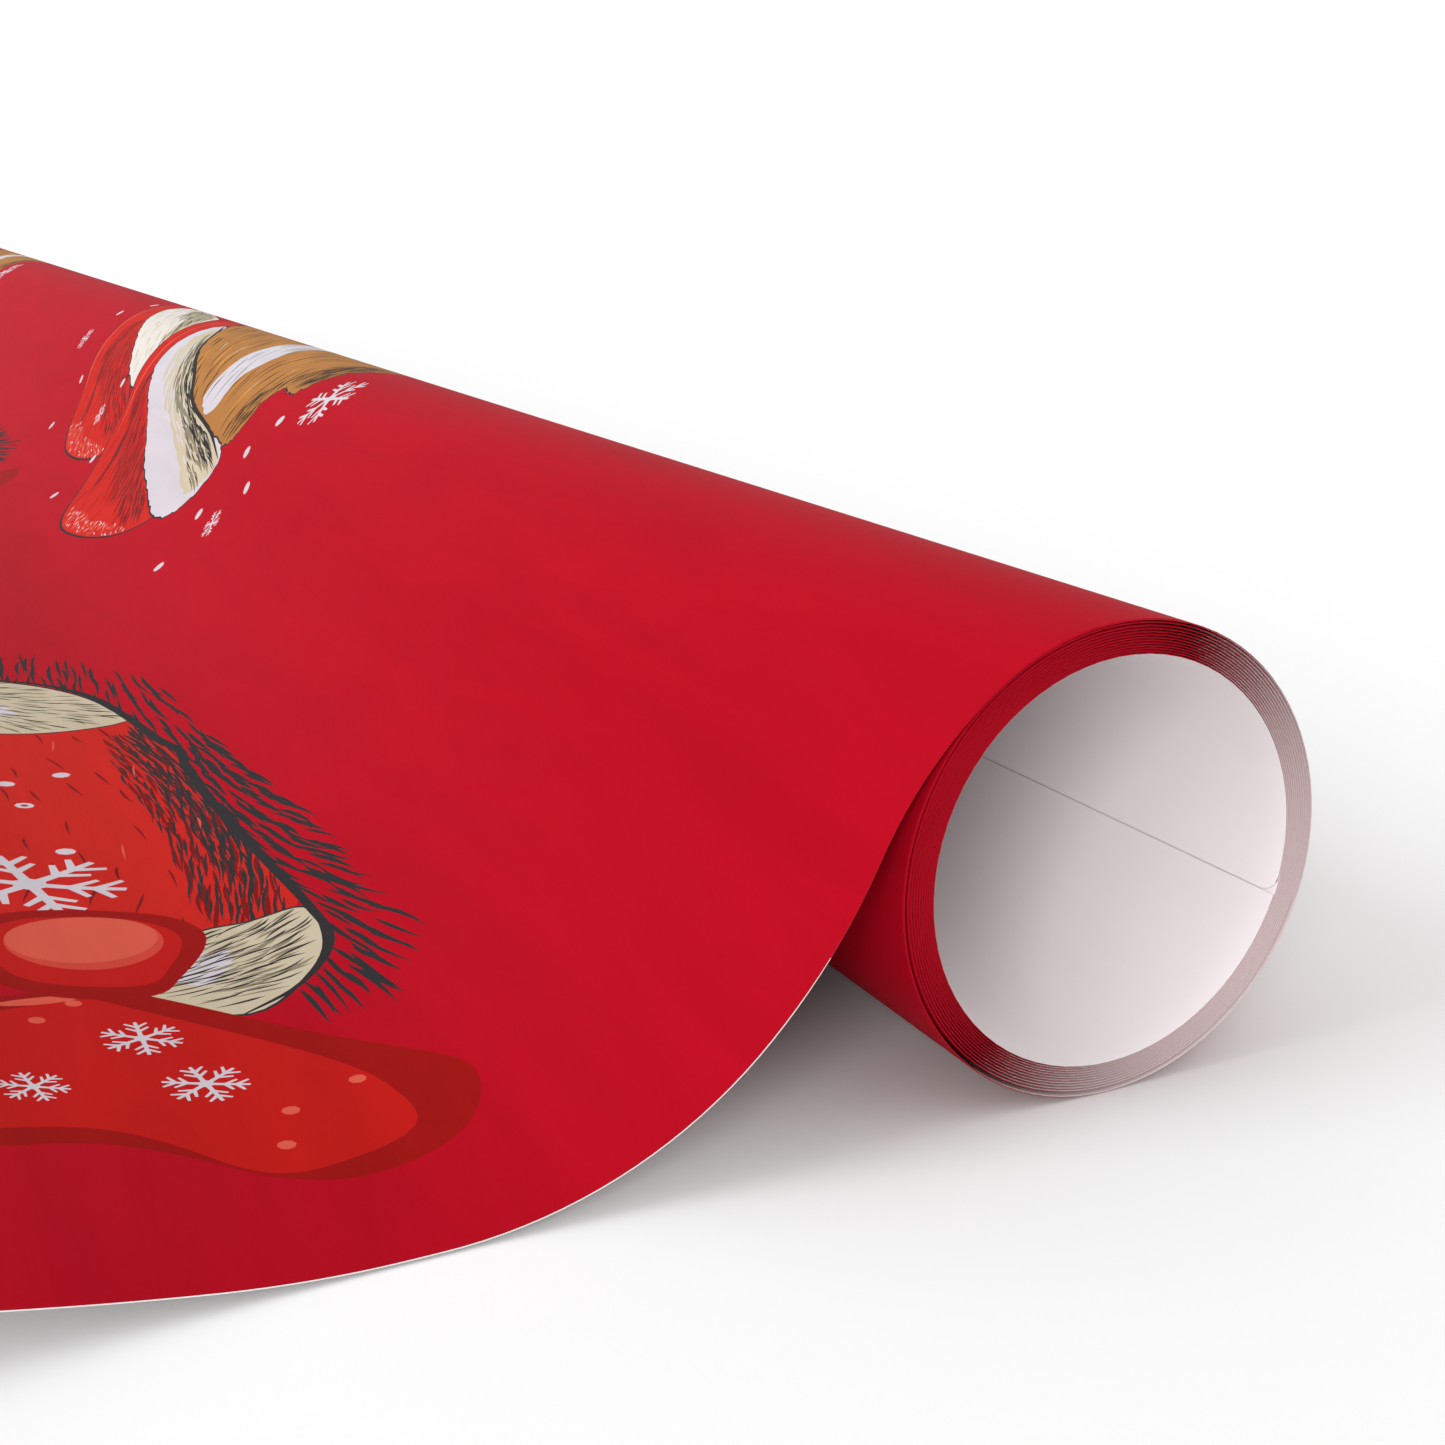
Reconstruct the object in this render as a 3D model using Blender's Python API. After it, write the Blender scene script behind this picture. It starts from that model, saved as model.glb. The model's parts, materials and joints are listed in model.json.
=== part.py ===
"""A coreless roll of gift wrapping paper, with the outer end of the sheet pulled forward over the table.

The roll's axis runs along X. The sheet leaves the top of the roll, comes down in front of it (towards -Y),
touches the table and rises again to its free edge. The origin is the centre of the object's footprint.
Each full turn of the wound sheet is one object, and the free leaf is cut into strips at its bend lines.
"""

import math

import bmesh
import bpy

# Driving dimensions, in metres and degrees.
SHEET_WIDTH = 0.762
SHEET_LENGTH = 1.524
PAPER_THICKNESS = 0.0001
ROLL_RADIUS = 0.0194
BORE_RADIUS = 0.01678
FULL_TURNS = 12
PITCH_GROWTH = 1.35
SEAM_ANGLE = -18.0
LEAVE_ANGLE = 127.0

# The free leaf's side outline, as shares of the roll's radius: bend radii and the flat that lies on the table.
SHOULDER_BEND = 1.67
DROP_BEND = 2.38
FOOT_BEND = 1.82
LIP_BEND = 4.3
EDGE_BEND = 13.0
FLAT_LENGTH = 0.12
SLOPE_WHERE_FOOT_STARTS = 44.7
SLOPE_WHERE_LIP_EASES = -9.0
EDGE_SLOPE = -13.0

# Cuts between moving strips, and how finely the round stretches are faceted.
CUT_GAP = 0.0003
TURN_FACETS = 48
BEND_STEP = 6.0
FOOT_CUT_SLOPE = 30.0
LIP_CUT_SLOPE = -3.0

PAPER_COLOURS = {"print": (0.50, 0.008, 0.022, 1.0), "inner": (0.62, 0.56, 0.56, 1.0)}


def turn_radii():
    """Middle radius of each full turn, and last the leaf's own, with a pitch that grows outwards."""
    steps = [1.0 + (PITCH_GROWTH - 1.0) * i / (FULL_TURNS - 1) for i in range(FULL_TURNS)]
    unit = (ROLL_RADIUS - BORE_RADIUS) / sum(steps)
    radii = [BORE_RADIUS]
    for step in steps:
        radii.append(radii[-1] + step * unit)
    return radii


def on_circle(radius, degrees):
    """The point (y, z) of a circle round the roll's axis, counted from +Y towards +Z."""
    angle = math.radians(degrees)
    return radius * math.cos(angle), radius * math.sin(angle)


def bend(points, slopes, radius, new_slope):
    """Adds an arc that ends at new_slope, in degrees below the horizontal on the way to -Y."""
    turn = new_slope - slopes[-1]
    steps = max(1, math.ceil(abs(turn) / BEND_STEP))
    chord = 2.0 * radius * math.sin(math.radians(abs(turn) / steps) / 2.0)
    for _ in range(steps):
        middle = math.radians(slopes[-1] + turn / steps / 2.0)
        y, z = points[-1]
        points.append((y - chord * math.cos(middle), z - chord * math.sin(middle)))
        slopes.append(slopes[-1] + turn / steps)


def straight(points, slopes, length):
    """Adds a straight run along the present slope."""
    slope = math.radians(slopes[-1])
    y, z = points[-1]
    points.append((y - length * math.cos(slope), z - length * math.sin(slope)))
    slopes.append(slopes[-1])


def drop_outline(steepest):
    """The leaf from where it leaves the roll to where it first lies flat."""
    points, slopes = [on_circle(ROLL_RADIUS, LEAVE_ANGLE)], [LEAVE_ANGLE - 90.0]
    bend(points, slopes, SHOULDER_BEND * ROLL_RADIUS, steepest)
    bend(points, slopes, DROP_BEND * ROLL_RADIUS, SLOPE_WHERE_FOOT_STARTS)
    bend(points, slopes, FOOT_BEND * ROLL_RADIUS, FOOT_CUT_SLOPE)
    bend(points, slopes, FOOT_BEND * ROLL_RADIUS, 0.0)
    return points, slopes


def steepest_slope(table_height):
    """The slope at which the leaf must fall to come down exactly onto the table."""
    low, high = SLOPE_WHERE_FOOT_STARTS + 1.0, 89.0
    for _ in range(50):
        middle = (low + high) / 2.0
        if drop_outline(middle)[0][-1][1] > table_height:
            low = middle
        else:
            high = middle
    return low


def path_length(points):
    """Length of a chain of points."""
    return sum(math.dist(a, b) for a, b in zip(points, points[1:]))


def leaf_outline(radii):
    """The whole leaf: the arc over the roll's top, the drop, the flat and the rising lip."""
    points, slopes = drop_outline(steepest_slope(-radii[-2]))
    straight(points, slopes, FLAT_LENGTH * ROLL_RADIUS)
    bend(points, slopes, LIP_BEND * ROLL_RADIUS, LIP_CUT_SLOPE)
    bend(points, slopes, LIP_BEND * ROLL_RADIUS, SLOPE_WHERE_LIP_EASES)
    bend(points, slopes, EDGE_BEND * ROLL_RADIUS, EDGE_SLOPE)
    crown_sweep = math.radians(LEAVE_ANGLE - SEAM_ANGLE)
    wound = sum(2.0 * math.pi * r for r in radii[:-1]) + crown_sweep * ROLL_RADIUS
    straight(points, slopes, SHEET_LENGTH - wound - path_length(points))
    return points, slopes


def crown_arc():
    """The outermost part turn, from the seam over the top to where the leaf leaves the roll."""
    facet = 360.0 / TURN_FACETS
    count = math.ceil((LEAVE_ANGLE - SEAM_ANGLE) / facet)
    sweep = (LEAVE_ANGLE - SEAM_ANGLE) / count
    return [on_circle(ROLL_RADIUS, SEAM_ANGLE + sweep * i) for i in range(count)]


def turn_arc(radius):
    """One full turn, open by the cut gap at the seam."""
    half_gap = math.degrees(CUT_GAP / 2.0 / radius)
    start, sweep = SEAM_ANGLE + half_gap, 360.0 - 2.0 * half_gap
    return [on_circle(radius, start + sweep * i / TURN_FACETS) for i in range(TURN_FACETS + 1)]


def shorten(points, at_start, at_end):
    """Pulls the ends of a strip back by half a cut gap, so that neighbours bend freely."""
    points = list(points)
    for wanted, end, inner in ((at_start, 0, 1), (at_end, -1, -2)):
        if wanted:
            share = CUT_GAP / 2.0 / math.dist(points[end], points[inner])
            points[end] = tuple(a + (b - a) * share for a, b in zip(points[end], points[inner]))
    return points


def make_material(name, colour):
    """A satin paper material."""
    material = bpy.data.materials.new(name)
    material.use_nodes = True
    shader = material.node_tree.nodes["Principled BSDF"]
    shader.inputs["Base Color"].default_value = colour
    shader.inputs["Roughness"].default_value = 0.45
    shader.inputs["Metallic"].default_value = 0.0
    return material


def make_strip(name, points, pivot, material, roll_axis):
    """A strip of paper as wide as the roll, with its origin on its own bend line or on the roll's axis."""
    mesh = bpy.data.meshes.new(name)
    shape = bmesh.new()
    row = [shape.verts.new((-SHEET_WIDTH / 2.0, y - pivot[0], z - pivot[1])) for y, z in points]
    edges = [shape.edges.new(pair) for pair in zip(row, row[1:])]
    far_side = bmesh.ops.extrude_edge_only(shape, edges=edges)["geom"]
    moved = [part for part in far_side if isinstance(part, bmesh.types.BMVert)]
    bmesh.ops.translate(shape, verts=moved, vec=(SHEET_WIDTH, 0.0, 0.0))
    bmesh.ops.recalc_face_normals(shape, faces=shape.faces)
    shape.to_mesh(mesh)
    shape.free()
    strip = bpy.data.objects.new(name, mesh)
    bpy.context.scene.collection.objects.link(strip)
    strip.location = (0.0, roll_axis[0] + pivot[0], roll_axis[1] + pivot[1])
    mesh.materials.append(material)
    thickness = strip.modifiers.new("Paper", "SOLIDIFY")
    thickness.thickness = PAPER_THICKNESS
    thickness.offset = 0.0
    thickness.use_even_offset = True
    mesh.shade_smooth()
    mesh.set_sharp_from_angle(angle=math.radians(40.0))
    return strip


def leaf_strips(points, slopes):
    """The leaf cut at its bend lines: name, points and bend line of each strip."""
    steepest = slopes.index(max(slopes))
    foot_cut = next(i for i, s in enumerate(slopes) if i > steepest and abs(s - FOOT_CUT_SLOPE) < 0.01)
    lip_cut = next(i for i, s in enumerate(slopes) if abs(s - LIP_CUT_SLOPE) < 0.01)
    return [
        ("leaf_crown", shorten(crown_arc() + points[: steepest + 1], True, True), (0.0, 0.0)),
        ("leaf_drop", shorten(points[steepest : foot_cut + 1], True, True), points[steepest]),
        ("leaf_foot", shorten(points[foot_cut : lip_cut + 1], True, True), points[foot_cut]),
        ("leaf_lip", shorten(points[lip_cut:], True, False), points[lip_cut]),
    ]


def build():
    """Makes the twelve turns and the four strips of the leaf."""
    for old in list(bpy.data.objects):
        bpy.data.objects.remove(old)
    radii = turn_radii()
    points, slopes = leaf_outline(radii)
    front = min(y for y, z in points)
    back = radii[-1] + PAPER_THICKNESS / 2.0
    roll_axis = (-(front + back) / 2.0, radii[-2] + PAPER_THICKNESS / 2.0)
    red = make_material("printed_paper", PAPER_COLOURS["print"])
    pale = make_material("paper_back", PAPER_COLOURS["inner"])
    for number, radius in enumerate(radii[:-1], start=1):
        material = pale if number == 1 else red
        make_strip(f"turn_{number:02d}", turn_arc(radius), (0.0, 0.0), material, roll_axis)
    for name, strip_points, pivot in leaf_strips(points, slopes):
        make_strip(name, strip_points, pivot, red, roll_axis)


build()
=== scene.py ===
import json
import math
import random

import bpy
import numpy as np
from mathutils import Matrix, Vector
from mathutils.geometry import delaunay_2d_cdt
from mathutils.kdtree import KDTree


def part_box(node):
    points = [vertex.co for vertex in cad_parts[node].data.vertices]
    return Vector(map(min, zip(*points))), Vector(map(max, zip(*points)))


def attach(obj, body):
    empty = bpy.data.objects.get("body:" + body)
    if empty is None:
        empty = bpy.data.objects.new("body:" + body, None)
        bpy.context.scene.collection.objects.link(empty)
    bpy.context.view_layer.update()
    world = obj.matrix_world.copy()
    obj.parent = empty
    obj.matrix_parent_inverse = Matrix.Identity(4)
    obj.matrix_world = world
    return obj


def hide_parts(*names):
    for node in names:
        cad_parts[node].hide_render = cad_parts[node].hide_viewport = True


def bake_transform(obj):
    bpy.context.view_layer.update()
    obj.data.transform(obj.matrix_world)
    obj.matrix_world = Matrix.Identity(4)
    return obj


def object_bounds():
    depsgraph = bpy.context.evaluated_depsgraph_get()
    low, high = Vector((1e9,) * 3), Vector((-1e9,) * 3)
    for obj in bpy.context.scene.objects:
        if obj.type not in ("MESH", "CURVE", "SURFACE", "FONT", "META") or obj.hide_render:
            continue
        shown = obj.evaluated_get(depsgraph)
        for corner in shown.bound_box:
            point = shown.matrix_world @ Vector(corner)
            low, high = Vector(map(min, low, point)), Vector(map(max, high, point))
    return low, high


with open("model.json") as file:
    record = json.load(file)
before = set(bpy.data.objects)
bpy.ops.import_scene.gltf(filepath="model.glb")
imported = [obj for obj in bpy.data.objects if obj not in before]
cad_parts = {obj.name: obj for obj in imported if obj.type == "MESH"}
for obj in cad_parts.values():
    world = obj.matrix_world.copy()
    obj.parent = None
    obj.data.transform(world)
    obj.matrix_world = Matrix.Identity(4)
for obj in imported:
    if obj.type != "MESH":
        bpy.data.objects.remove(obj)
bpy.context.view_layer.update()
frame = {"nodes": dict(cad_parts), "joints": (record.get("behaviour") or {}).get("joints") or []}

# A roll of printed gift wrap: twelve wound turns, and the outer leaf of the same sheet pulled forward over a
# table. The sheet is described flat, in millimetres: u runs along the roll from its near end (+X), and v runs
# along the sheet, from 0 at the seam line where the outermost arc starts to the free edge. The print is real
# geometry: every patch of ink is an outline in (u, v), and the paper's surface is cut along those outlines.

MM = 0.001
SEAM_ANGLE = -18.0
LEAVE_ANGLE = 127.0
LEAF_RADIUS = 19.4

# The leaf's side outline: bend radii and flat as shares of the leaf's radius, and slopes in degrees.
SHOULDER_BEND = 1.67
DROP_BEND = 2.38
FOOT_BEND = 1.82
LIP_BEND = 4.3
EDGE_BEND = 13.0
FLAT_LENGTH = 0.12
SLOPE_WHERE_FOOT_STARTS = 44.7
SLOPE_WHERE_LIP_EASES = -9.0
EDGE_SLOPE = -13.0
FLEX_HINGE_SLOPE = 30.0
CURL_HINGE_SLOPE = -3.0

# How far each of the leaf's bends would spread before and after its hinge, in millimetres; the leaf isn't
# bent here, and only points at these distances are worked out. The lip's starts late, because it lies on the
# table.
LIFT_REACH = (9.0, 9.0)
FLEX_REACH = (10.0, 10.0)
CURL_REACH = (4.0, 8.0)

# The sheet, in millimetres. At the roll's ends the paper's front slopes down over EDGE_TAPER to a thin edge.
# This fades out where the leaf has left the roll.
SHEET_LENGTH = 1524.0
PAPER_THICKNESS = 0.10
EDGE_THICKNESS = 0.012
EDGE_TAPER = 0.15
TAPER_FADES_FROM = 66.0
TAPER_FADES_OVER = 14.0

# The innermost turn starts at the seam with a rounded near corner, and its other end steps outwards a gap
# away. The outermost turn eases outwards over its last OUTER_RAMP until it meets the leaf.
SEAM_STEP = 0.06
SEAM_RAMP = 40.0
SEAM_GAP = 0.12
CORNER_RADIUS = 1.6
OUTER_RAMP = 112.0

# How the flat sheet is cut into faces, in millimetres.
ROW_PITCH = 1.5
MERGE_DISTANCE = 0.0001
SIDE_REACH = 0.02
STROKE_TIP = 0.02
UV_UNIT = 100.0

# The table reaches this far in metres. The camera stands off the near end's centre by CAMERA_OFFSET times the
# leaf's radius, and its angles are in degrees.
TABLE_REACH = 6.0
TABLE_WHITE = 0.715
CAMERA_OFFSET = (5.8945, -4.6441, 2.6957)
CAMERA_YAW = 26.09
CAMERA_PITCH = 16.01
CAMERA_LENS = 48.66


# ------------------------------------------------------------------ where the sheet lies

hinges = {joint["name"]: joint for joint in frame["joints"] if joint["type"] == "hinge"}


def hinge_point(name):
    """(y, z) of a hinge's axis, in millimetres."""
    return np.array(hinges[name]["pos_m"][1:]) / MM


roll_axis = hinge_point("coil_twist")
HALF_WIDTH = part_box("turn_12")[1].x / MM
WIDTH = 2.0 * HALF_WIDTH


def turn_radius(node):
    """Middle radius of a wound turn: its corner points' mean distance from the roll's axis."""
    points = np.array([vertex.co for vertex in frame["nodes"][node].data.vertices]) / MM
    return float(np.hypot(points[:, 1] - roll_axis[0], points[:, 2] - roll_axis[1]).mean())


turn_nodes = [f"turn_{number:02d}" for number in range(1, 13)]
turn_radii = [turn_radius(node) for node in turn_nodes]


def on_circle(radius, degrees):
    """(y, z) of a point of a circle round the roll's axis, counted from +Y towards +Z."""
    angle = math.radians(degrees)
    return roll_axis + radius * np.array([math.cos(angle), math.sin(angle)])


def arc(radius, turn):
    """A stretch of the outline with that bend radius: its length and how much the slope changes."""
    return abs(math.radians(turn)) * radius, turn


def leaf_stretches():
    """(length, change of slope) of each stretch of the leaf, from the seam to the free edge."""
    shoulder_start = on_circle(LEAF_RADIUS, LEAVE_ANGLE)
    shoulder_end = hinge_point("leaf_lift")
    fall = shoulder_start - shoulder_end
    start_slope = LEAVE_ANGLE - 90.0
    steepest = 2.0 * math.degrees(math.atan2(fall[1], fall[0])) - start_slope
    stretches = [
        arc(LEAF_RADIUS, LEAVE_ANGLE - SEAM_ANGLE),
        arc(SHOULDER_BEND * LEAF_RADIUS, steepest - start_slope),
        arc(DROP_BEND * LEAF_RADIUS, SLOPE_WHERE_FOOT_STARTS - steepest),
        arc(FOOT_BEND * LEAF_RADIUS, -SLOPE_WHERE_FOOT_STARTS),
        (FLAT_LENGTH * LEAF_RADIUS, 0.0),
        arc(LIP_BEND * LEAF_RADIUS, SLOPE_WHERE_LIP_EASES),
        arc(EDGE_BEND * LEAF_RADIUS, EDGE_SLOPE - SLOPE_WHERE_LIP_EASES),
    ]
    wound = sum(2.0 * math.pi * radius for radius in turn_radii)
    used = wound + sum(length for length, turn in stretches)
    return stretches + [(SHEET_LENGTH - used, 0.0)]


def along_stretch(start, slope, stretch, distance):
    """Points and slopes at distances along a stretch. A slope is in degrees below the horizontal, to -Y."""
    length, turn = stretch
    half = np.radians(turn) * distance / length / 2.0
    chord = distance * np.sinc(half / math.pi)
    middle = math.radians(slope) + half
    offset = -chord[:, None] * np.stack([np.cos(middle), np.sin(middle)], axis=1)
    return start + offset, slope + np.degrees(2.0 * half)


def place_on_leaf(v):
    """(y, z) points and outward directions of the leaf at distances v from the seam."""
    points, slopes = np.zeros((len(v), 2)), np.zeros(len(v))
    begin, start, slope = 0.0, on_circle(LEAF_RADIUS, SEAM_ANGLE), SEAM_ANGLE - 90.0
    for stretch in leaf_stretches():
        here = v >= begin - 1e-9
        points[here], slopes[here] = along_stretch(start, slope, stretch, v[here] - begin)
        end, end_slope = along_stretch(start, slope, stretch, np.array([stretch[0]]))
        begin, start, slope = begin + stretch[0], end[0], end_slope[0]
    angles = np.radians(slopes)
    return points, np.stack([-np.sin(angles), np.cos(angles)], axis=1)


def smooth_step(x):
    """0 below 0, 1 above 1, and a smooth rise between."""
    x = np.clip(x, 0.0, 1.0)
    return x * x * (3.0 - 2.0 * x)


def place_on_turn(radius, rise, ramp):
    """How a turn lies: it ends at the seam, v = 0, and rises outward by rise over its last ramp."""

    def place(v):
        angles = math.radians(SEAM_ANGLE) + v / radius
        outward = np.stack([np.cos(angles), np.sin(angles)], axis=1)
        distance = radius + rise * smooth_step((v + ramp) / ramp)
        return roll_axis + distance[:, None] * outward, outward

    return place


# ------------------------------------------------------------------ outlines of ink, in (u, v)


def smooth_loop(*points, steps=5):
    """A closed smooth curve through the points."""
    p = np.array(points, float)
    before, after, beyond = np.roll(p, 1, 0), np.roll(p, -1, 0), np.roll(p, -2, 0)
    t = (np.arange(steps) / steps)[None, :, None]
    a, b, c, d = (x[:, None, :] for x in (before, p, after, beyond))
    curve = 0.5 * (2 * b + (c - a) * t + (2 * a - 5 * b + 4 * c - d) * t**2 + (3 * b - a - 3 * c + d) * t**3)
    return curve.reshape(-1, 2)


def smooth_line(*points, steps=6):
    """An open smooth curve through the points."""
    first, last = np.array(points[0]), np.array(points[-1])
    padded = [2 * first - points[1], *points, 2 * last - points[-2]]
    curve = smooth_loop(*padded, steps=steps)
    return curve[steps : steps * len(points) + 1]


def sideways(line):
    """Unit vectors square to a line at each of its points."""
    along = np.gradient(line, axis=0)
    along /= np.linalg.norm(along, axis=1)[:, None]
    return np.stack([-along[:, 1], along[:, 0]], axis=1)


def brush_line(line, width):
    """The outline of a line drawn with a brush: full width in the middle, pointed at both ends."""
    share = np.linspace(0.0, 1.0, len(line))
    half = 0.5 * width * np.sqrt(np.clip(4.0 * share * (1.0 - share), 0.0, 1.0))[:, None]
    half[[0, -1]] = STROKE_TIP
    side = sideways(line)
    return np.vstack([line + half * side, (line - half * side)[::-1]])


def stroke(u, v, heading, length, width, sag):
    """A single tapered brush stroke that starts at (u, v); heading is in degrees from +u towards +v."""
    share = np.linspace(0.0, 1.0, 5)
    ahead = np.array([math.cos(math.radians(heading)), math.sin(math.radians(heading))])
    side = np.array([-ahead[1], ahead[0]])
    bow = sag * length * 4.0 * share * (1.0 - share)
    line = np.array([u, v]) + np.outer(share * length, ahead) + np.outer(bow, side)
    half = 0.5 * width * np.sin(math.pi * share**0.7)[:, None]
    half[[0, -1]] = STROKE_TIP
    return np.vstack([line + half * side, (line - half * side)[::-1]])


def oval(u, v, half_long, half_short, tilt=0.0, steps=8):
    """An ellipse whose long axis is tilted from +u towards +v."""
    t = np.arange(steps) * 2.0 * math.pi / steps
    c, s = math.cos(math.radians(tilt)), math.sin(math.radians(tilt))
    x, y = half_long * np.cos(t), half_short * np.sin(t)
    return np.stack([u + c * x - s * y, v + s * x + c * y], axis=1)


def bar(u, v, heading, length, width):
    """A straight bar from (u, v) that tapers towards its outer end."""
    angle = math.radians(heading)
    ahead = np.array([math.cos(angle), math.sin(angle)])
    side = np.array([-math.sin(angle), math.cos(angle)])
    root, tip = np.array([u, v]), np.array([u, v]) + length * ahead
    at_root, at_tip = side * width / 2, side * width / 3
    return np.array([root - at_root, tip - at_tip, tip + at_tip, root + at_root])


def snowflake(u, v, size, turn):
    """Six arms, each forked twice, as wide as size across."""
    radius, width = size / 2.0, max(0.065 * size, 0.34)
    outlines = [oval(u, v, 0.1 * size, 0.1 * size, steps=6)]
    for arm in range(6):
        heading = turn + 60.0 * arm
        angle = math.radians(heading)
        outlines.append(bar(u, v, heading, radius, width))
        for fork in (0.42, 0.68):
            root = (u + fork * radius * math.cos(angle), v + fork * radius * math.sin(angle))
            outlines += [bar(*root, heading + lean, 0.36 * radius, 0.8 * width) for lean in (-48.0, 48.0)]
    return [("snow", outline) for outline in outlines]


def dots(ink, size, *centres):
    """Small round dots."""
    return [(ink, oval(u, v, size / 2.0, size / 2.0)) for u, v in centres]


def inside(polygon, points):
    """Which points lie in a polygon."""
    found = np.zeros(len(points), bool)
    x, y = points[:, 0], points[:, 1]
    for (x0, y0), (x1, y1) in zip(polygon, np.roll(polygon, -1, 0)):
        crosses = (y0 > y) != (y1 > y)
        if crosses.any():
            edge = x0 + (y[crosses] - y0) * (x1 - x0) / (y1 - y0)
            found[crosses] ^= x[crosses] < edge
    return found


def scattered(rng, area, count, heading):
    """Random points spread evenly over an area, closer together across the heading than along it."""
    (left, low), (right, high) = area.min(0), area.max(0)
    stretch, tries_per_point = 3.5, 14
    tries = [[rng.uniform(left, right), rng.uniform(low, high)] for _ in range(tries_per_point * count)]
    tries = np.array(tries)
    tries = tries[inside(area, tries)]
    x, y = area[:, 0], area[:, 1]
    size = 0.5 * abs(np.dot(x, np.roll(y, -1)) - np.dot(y, np.roll(x, -1)))
    apart = 0.75 * math.sqrt(size / (count * stretch))
    c, s = math.cos(math.radians(heading)), math.sin(math.radians(heading))
    squeezed = tries @ np.array([[c / stretch, -s], [s / stretch, c]])
    kept = []
    for number, point in enumerate(squeezed):
        if not kept or np.hypot(*(squeezed[kept] - point).T).min() > apart:
            kept.append(number)
    return tries[kept[:count]]


def hatching(rng, ink, area, count, heading, spread, length, width, sag=0.05, within=None):
    """Brush strokes scattered over an area. heading is degrees, or a function of the place."""
    shapes, middle = [], area.mean(0)
    common = heading(*middle) if callable(heading) else heading
    for u, v in scattered(rng, area, count, common):
        main = heading(u, v) if callable(heading) else heading
        angle, size = main + rng.uniform(-spread, spread), rng.uniform(0.6, 1.0)
        mark = stroke(u, v, angle, length * size, width * rng.uniform(0.7, 1.2), rng.uniform(-sag, sag))
        if within is None or inside(within, mark).all():
            shapes.append((ink, mark))
    return shapes


def fringe(rng, ink, line, count, reach, length, width, lean, spread):
    """Strokes that start beside a line, up to reach from it, and lean off the line's direction."""
    shapes, away = [], sideways(line)
    headings = np.degrees(np.arctan2(*np.gradient(line, axis=0).T[::-1]))
    for _ in range(count):
        at = rng.randrange(len(line))
        u, v = line[at] + away[at] * reach * rng.random() ** 1.6
        angle = headings[at] + lean + rng.uniform(-spread, spread)
        long, wide = length * rng.uniform(0.5, 1.0), width * rng.uniform(0.6, 1.2)
        shapes.append((ink, stroke(u, v, angle, long, wide, 0.04)))
    return shapes


def grown(loop, width):
    """A closed outline moved outwards by a width, which can differ from point to point."""
    along = np.roll(loop, -1, 0) - np.roll(loop, 1, 0)
    along /= np.linalg.norm(along, axis=1)[:, None]
    x, y = loop[:, 0], loop[:, 1]
    side = 1.0 if np.dot(x, np.roll(y, -1)) > np.dot(y, np.roll(x, -1)) else -1.0
    return loop + side * np.stack([along[:, 1], -along[:, 0]], axis=1) * np.reshape(width, (-1, 1))


def furry(rng, loop, depth):
    """A closed outline with a ragged edge, like a fur trim's."""
    return grown(loop, np.array([rng.uniform(-depth, depth) for _ in loop]))


def moved(shapes, du, dv):
    """The same shapes somewhere else on the sheet."""
    return [(ink, outline + np.array([du, dv])) for ink, outline in shapes]


# ------------------------------------------------------------------ the printed motifs


def cap_of_hat(rng, cap, shade, tip, fold, heading):
    """A red cap with a dark outline, hatched where it turns under its brim and frosted at its tip."""
    shapes = [("black", grown(cap, 0.55)), ("scarlet", cap)]
    shapes += hatching(rng, "maroon", cap, 70, heading, 6.0, 9.0, 0.6, within=cap)
    shapes += hatching(rng, "maroon", shade, 90, heading, 6.0, 8.0, 0.9, within=cap)
    shapes += hatching(rng, "black", shade, 70, heading, 6.0, 7.0, 0.42, within=cap)
    shapes += fringe(rng, "maroon", fold, 26, 2.0, 9.0, 0.8, 6.0, 5.0)
    shapes += fringe(rng, "black", fold, 14, 1.2, 8.0, 0.5, 4.0, 4.0)
    shapes += hatching(rng, "coral", tip, 80, heading, 25.0, 2.6, 0.55, within=cap)
    shapes += hatching(rng, "snow", tip, 34, heading, 30.0, 1.8, 0.35, within=cap)
    return shapes


def fur_brim(rng, brim, ink):
    """A pale fur trim with a ragged edge and a dark outline."""
    ragged = furry(rng, brim, 0.28)
    return [("black", grown(ragged, 0.4)), (ink, ragged)]


def back_brim(rng):
    """The fur brim of the hat behind, dark along its lower side."""
    brim = smooth_loop(
        (309, 60), (316, 46), (320, 36), (332, 33.5), (350, 31), (358.5, 32), (358, 39),
        (353, 44.5), (345, 48.5), (334, 53), (322, 58), steps=9,
    )
    under = smooth_loop((352, 31.5), (334, 33), (321, 37), (316, 46), (320, 48), (328, 41), (342, 37.5))
    shapes = fur_brim(rng, brim, "ivory")
    shapes += hatching(rng, "cream", brim, 34, 150.0, 8.0, 8.0, 0.7, within=brim)
    shapes += [("cream", furry(rng, under, 0.5))]
    shapes += hatching(rng, "khaki", under, 60, 150.0, 8.0, 8.0, 0.8, within=brim)
    shapes += hatching(rng, "black", under, 26, 150.0, 8.0, 6.5, 0.4, within=brim)
    return shapes


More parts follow.
